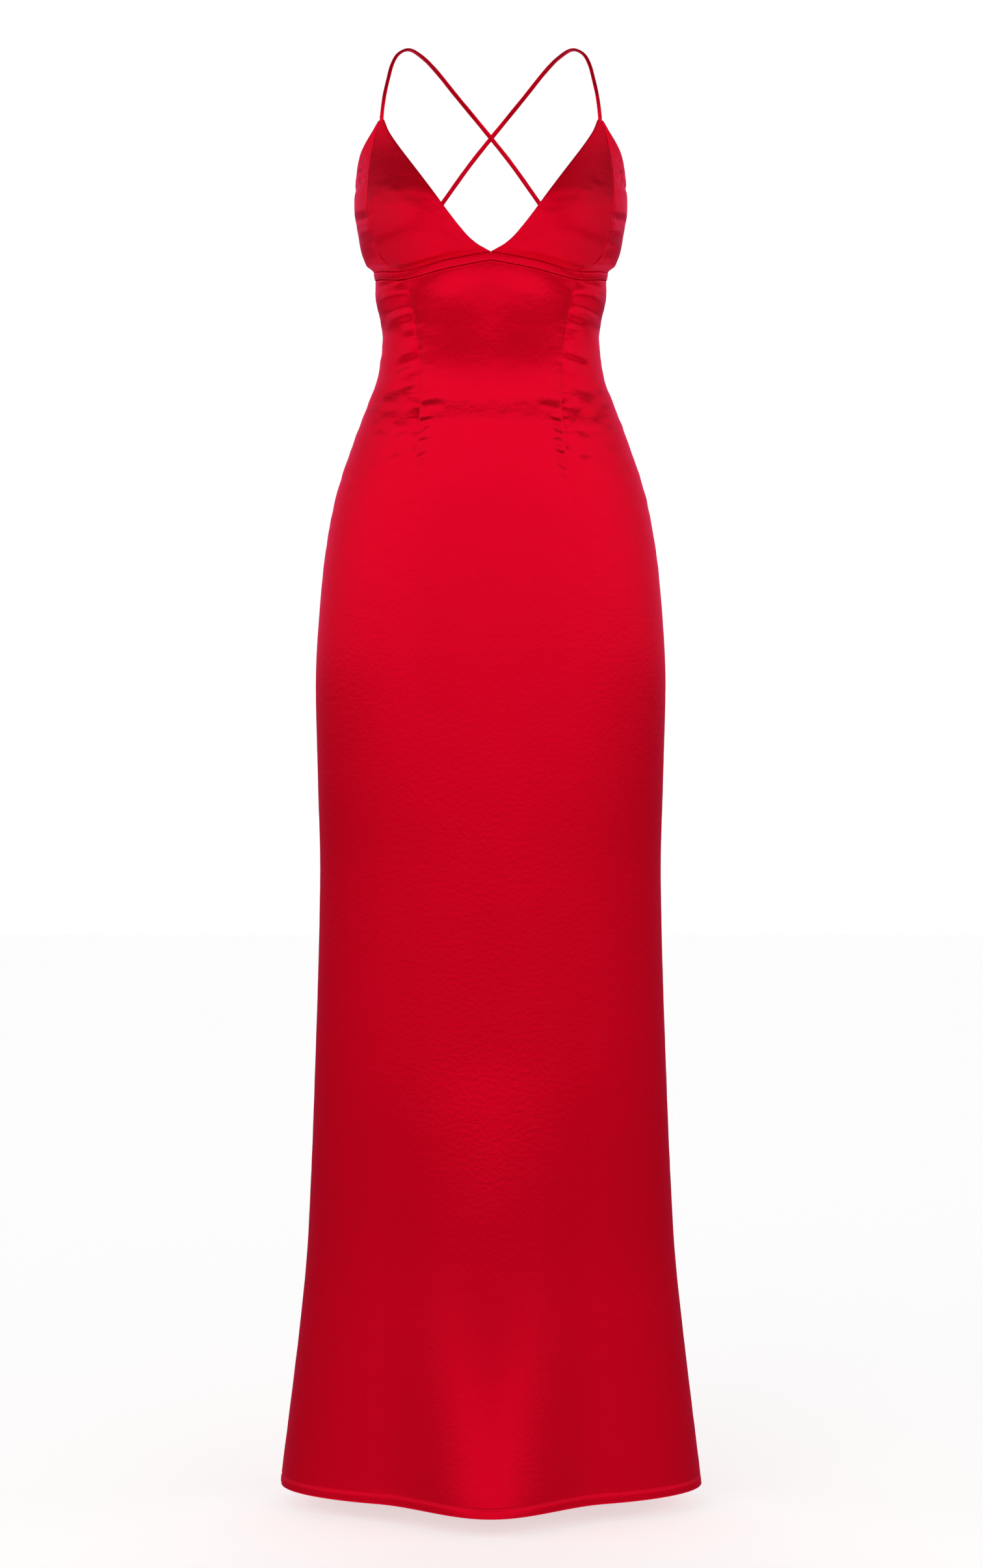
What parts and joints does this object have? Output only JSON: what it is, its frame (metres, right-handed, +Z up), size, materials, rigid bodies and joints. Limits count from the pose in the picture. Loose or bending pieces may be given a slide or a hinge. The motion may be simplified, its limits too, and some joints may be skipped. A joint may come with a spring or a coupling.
{
  "type": "maxi slip dress",
  "caption": "Full-length satin slip dress with deep V neck, seamed triangle cups, narrow under-bust band, darted bodice, crossed-back rouleau straps and a flared hem.",
  "frame": {"origin": "midway between the tops of the two straps, where the wearer's shoulders carry the dress", "axes": "+Z up, -Y out of the front of the dress, +X towards the wearer's left"},
  "size_m": [0.4408, 0.2859, 1.4991],
  "materials": {
    "satin": "satin sheen along the warp",
    "zip_tape": "matt woven tape",
    "zip_metal": "gloss enamel"
  },
  "bodies": {
    "dress": {"front_panel": "satin", "back_panel_left": "satin", "back_panel_right": "satin", "band_centre": "satin", "band_side_left": "satin", "band_side_right": "satin", "cup_inner_left": "satin", "cup_inner_right": "satin", "cup_outer_left": "satin", "cup_outer_right": "satin", "strap_left": "satin", "strap_right": "satin", "zip_tape_left": "zip_tape", "zip_tape_right": "zip_tape", "zip_slider": "zip_metal"},
    "zip_pull": {"zip_pull": "zip_metal"}
  },
  "joints": [
    {"name": "pull_swing", "type": "hinge", "parent": "dress", "child": "zip_pull", "pos_m": [0, 0.09033, -0.264], "axis": [1, 0, 0], "range_deg": [0, 165]}
  ]
}
